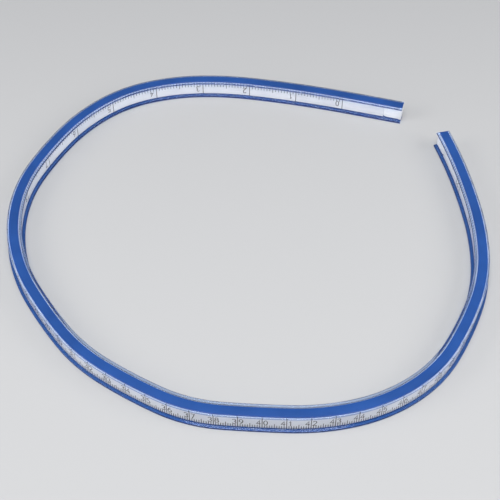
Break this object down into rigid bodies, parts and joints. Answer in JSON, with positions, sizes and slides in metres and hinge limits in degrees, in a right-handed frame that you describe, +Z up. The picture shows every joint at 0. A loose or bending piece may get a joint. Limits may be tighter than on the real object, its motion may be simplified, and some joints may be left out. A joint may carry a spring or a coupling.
{
  "type": "flexible curve ruler",
  "caption": "Flexible drawing curve: a bendable blue strip with clear lipped sides over printed inch and centimetre scales, which holds the shape it is bent to.",
  "frame": {"origin": "middle of the whole curve as it lies, on the resting face", "axes": "+Z up out of the surface it lies on; +X to the right and +Y away, with the zero end at the upper right; bounding box centred in X and Y"},
  "size_m": [0.2288, 0.2182, 0.0094],
  "materials": {
    "sleeve_pvc": "soft gloss",
    "clear_pvc": "clear glossy PVC",
    "strip_pvc": "white with black print",
    "lead": "dull soft metal",
    "spring_steel": "rolled",
    "plug_plastic": "satin"
  },
  "bodies": {
    "link_1": {"sleeve_1": "sleeve_pvc", "covers_1": "clear_pvc", "zero_end_plug": "plug_plastic"},
    "link_2": {"sleeve_2": "sleeve_pvc", "covers_2": "clear_pvc"},
    "link_3": {"sleeve_3": "sleeve_pvc", "covers_3": "clear_pvc"},
    "link_4": {"sleeve_4": "sleeve_pvc", "covers_4": "clear_pvc"},
    "link_5": {"sleeve_5": "sleeve_pvc", "covers_5": "clear_pvc"},
    "link_6": {"sleeve_6": "sleeve_pvc", "covers_6": "clear_pvc"},
    "link_7": {"sleeve_7": "sleeve_pvc", "covers_7": "clear_pvc"},
    "link_8": {"sleeve_8": "sleeve_pvc", "covers_8": "clear_pvc"},
    "link_9": {"sleeve_9": "sleeve_pvc", "covers_9": "clear_pvc"},
    "link_10": {"sleeve_10": "sleeve_pvc", "covers_10": "clear_pvc"},
    "link_11": {"sleeve_11": "sleeve_pvc", "covers_11": "clear_pvc"},
    "link_12": {"sleeve_12": "sleeve_pvc", "covers_12": "clear_pvc", "inch_strip": "strip_pvc", "cm_strip": "strip_pvc", "lead_core": "lead", "inner_spring": "spring_steel", "outer_spring": "spring_steel"},
    "link_13": {"sleeve_13": "sleeve_pvc", "covers_13": "clear_pvc"},
    "link_14": {"sleeve_14": "sleeve_pvc", "covers_14": "clear_pvc"},
    "link_15": {"sleeve_15": "sleeve_pvc", "covers_15": "clear_pvc"},
    "link_16": {"sleeve_16": "sleeve_pvc", "covers_16": "clear_pvc"},
    "link_17": {"sleeve_17": "sleeve_pvc", "covers_17": "clear_pvc"},
    "link_18": {"sleeve_18": "sleeve_pvc", "covers_18": "clear_pvc"},
    "link_19": {"sleeve_19": "sleeve_pvc", "covers_19": "clear_pvc"},
    "link_20": {"sleeve_20": "sleeve_pvc", "covers_20": "clear_pvc"},
    "link_21": {"sleeve_21": "sleeve_pvc", "covers_21": "clear_pvc"},
    "link_22": {"sleeve_22": "sleeve_pvc", "covers_22": "clear_pvc"},
    "link_23": {"sleeve_23": "sleeve_pvc", "covers_23": "clear_pvc"},
    "link_24": {"sleeve_24": "sleeve_pvc", "covers_24": "clear_pvc", "far_end_plug": "plug_plastic"}
  },
  "joints": [
    {"name": "bend_1", "type": "hinge", "parent": "link_2", "child": "link_1", "pos_m": [0.05632, 0.09105, 0.0047], "axis": [0, 0, -1], "range_deg": [-25, 3], "deforming": ["inch_strip", "cm_strip", "lead_core", "inner_spring", "outer_spring"]},
    {"name": "bend_2", "type": "hinge", "parent": "link_3", "child": "link_2", "pos_m": [0.02948, 0.09789, 0.0047], "axis": [0, 0, -1], "range_deg": [-25, 3], "deforming": ["inch_strip", "cm_strip", "lead_core", "inner_spring", "outer_spring"]},
    {"name": "bend_3", "type": "hinge", "parent": "link_4", "child": "link_3", "pos_m": [0.0023, 0.1032, 0.0047], "axis": [0, 0, -1], "range_deg": [-25, 3], "deforming": ["inch_strip", "cm_strip", "lead_core", "inner_spring", "outer_spring"]},
    {"name": "bend_4", "type": "hinge", "parent": "link_5", "child": "link_4", "pos_m": [-0.0253, 0.10504, 0.0047], "axis": [0, 0, -1], "range_deg": [-25, 3], "deforming": ["inch_strip", "cm_strip", "lead_core", "inner_spring", "outer_spring"]},
    {"name": "bend_5", "type": "hinge", "parent": "link_6", "child": "link_5", "pos_m": [-0.05246, 0.10015, 0.0047], "axis": [0, 0, -1], "range_deg": [-25, 3], "deforming": ["inch_strip", "cm_strip", "lead_core", "inner_spring", "outer_spring"]},
    {"name": "bend_6", "type": "hinge", "parent": "link_7", "child": "link_6", "pos_m": [-0.07611, 0.08611, 0.0047], "axis": [0, 0, -1], "range_deg": [-25, 3], "deforming": ["inch_strip", "cm_strip", "lead_core", "inner_spring", "outer_spring"]},
    {"name": "bend_7", "type": "hinge", "parent": "link_8", "child": "link_7", "pos_m": [-0.0933, 0.06453, 0.0047], "axis": [0, 0, -1], "range_deg": [-25, 3], "deforming": ["inch_strip", "cm_strip", "lead_core", "inner_spring", "outer_spring"]},
    {"name": "bend_8", "type": "hinge", "parent": "link_9", "child": "link_8", "pos_m": [-0.10513, 0.03951, 0.0047], "axis": [0, 0, -1], "range_deg": [-25, 3], "deforming": ["inch_strip", "cm_strip", "lead_core", "inner_spring", "outer_spring"]},
    {"name": "bend_9", "type": "hinge", "parent": "link_10", "child": "link_9", "pos_m": [-0.11041, 0.01246, 0.0047], "axis": [0, 0, -1], "range_deg": [-25, 3], "deforming": ["inch_strip", "cm_strip", "lead_core", "inner_spring", "outer_spring"]},
    {"name": "bend_10", "type": "hinge", "parent": "link_11", "child": "link_10", "pos_m": [-0.10683, -0.0149, 0.0047], "axis": [0, 0, -1], "range_deg": [-25, 4], "deforming": ["inch_strip", "cm_strip", "lead_core", "inner_spring", "outer_spring"]},
    {"name": "bend_11", "type": "hinge", "parent": "link_12", "child": "link_11", "pos_m": [-0.09562, -0.04014, 0.0047], "axis": [0, 0, -1], "range_deg": [-25, 4], "deforming": ["inch_strip", "cm_strip", "lead_core", "inner_spring", "outer_spring"]},
    {"name": "bend_12", "type": "hinge", "parent": "link_12", "child": "link_13", "pos_m": [-0.07976, -0.06283, 0.0047], "axis": [0, 0, 1], "range_deg": [-25, 4], "deforming": ["inch_strip", "cm_strip", "lead_core", "inner_spring", "outer_spring"]},
    {"name": "bend_13", "type": "hinge", "parent": "link_13", "child": "link_14", "pos_m": [-0.0596, -0.08167, 0.0047], "axis": [0, 0, 1], "range_deg": [-25, 4], "deforming": ["inch_strip", "cm_strip", "lead_core", "inner_spring", "outer_spring"]},
    {"name": "bend_14", "type": "hinge", "parent": "link_14", "child": "link_15", "pos_m": [-0.03582, -0.09584, 0.0047], "axis": [0, 0, 1], "range_deg": [-25, 4], "deforming": ["inch_strip", "cm_strip", "lead_core", "inner_spring", "outer_spring"]},
    {"name": "bend_15", "type": "hinge", "parent": "link_15", "child": "link_16", "pos_m": [-0.00937, -0.10345, 0.0047], "axis": [0, 0, 1], "range_deg": [-25, 4], "deforming": ["inch_strip", "cm_strip", "lead_core", "inner_spring", "outer_spring"]},
    {"name": "bend_16", "type": "hinge", "parent": "link_16", "child": "link_17", "pos_m": [0.01828, -0.10505, 0.0047], "axis": [0, 0, 1], "range_deg": [-25, 12], "deforming": ["inch_strip", "cm_strip", "lead_core", "inner_spring", "outer_spring"]},
    {"name": "bend_17", "type": "hinge", "parent": "link_17", "child": "link_18", "pos_m": [0.04573, -0.10206, 0.0047], "axis": [0, 0, 1], "range_deg": [-25, 12], "deforming": ["inch_strip", "cm_strip", "lead_core", "inner_spring", "outer_spring"]},
    {"name": "bend_18", "type": "hinge", "parent": "link_18", "child": "link_19", "pos_m": [0.07075, -0.09055, 0.0047], "axis": [0, 0, 1], "range_deg": [-25, 12], "deforming": ["inch_strip", "cm_strip", "lead_core", "inner_spring", "outer_spring"]},
    {"name": "bend_19", "type": "hinge", "parent": "link_19", "child": "link_20", "pos_m": [0.08962, -0.07053, 0.0047], "axis": [0, 0, 1], "range_deg": [-25, 12], "deforming": ["inch_strip", "cm_strip", "lead_core", "inner_spring", "outer_spring"]},
    {"name": "bend_20", "type": "hinge", "parent": "link_20", "child": "link_21", "pos_m": [0.10242, -0.04599, 0.0047], "axis": [0, 0, 1], "range_deg": [-25, 12], "deforming": ["inch_strip", "cm_strip", "lead_core", "inner_spring", "outer_spring"]},
    {"name": "bend_21", "type": "hinge", "parent": "link_21", "child": "link_22", "pos_m": [0.10947, -0.01931, 0.0047], "axis": [0, 0, 1], "range_deg": [-25, 12], "deforming": ["inch_strip", "cm_strip", "lead_core", "inner_spring", "outer_spring"]},
    {"name": "bend_22", "type": "hinge", "parent": "link_22", "child": "link_23", "pos_m": [0.1101, 0.00835, 0.0047], "axis": [0, 0, 1], "range_deg": [-25, 12], "deforming": ["inch_strip", "cm_strip", "lead_core", "inner_spring", "outer_spring"]},
    {"name": "bend_23", "type": "hinge", "parent": "link_23", "child": "link_24", "pos_m": [0.10711, 0.03588, 0.0047], "axis": [0, 0, 1], "range_deg": [-25, 12], "deforming": ["inch_strip", "cm_strip", "lead_core", "inner_spring", "outer_spring"]}
  ]
}
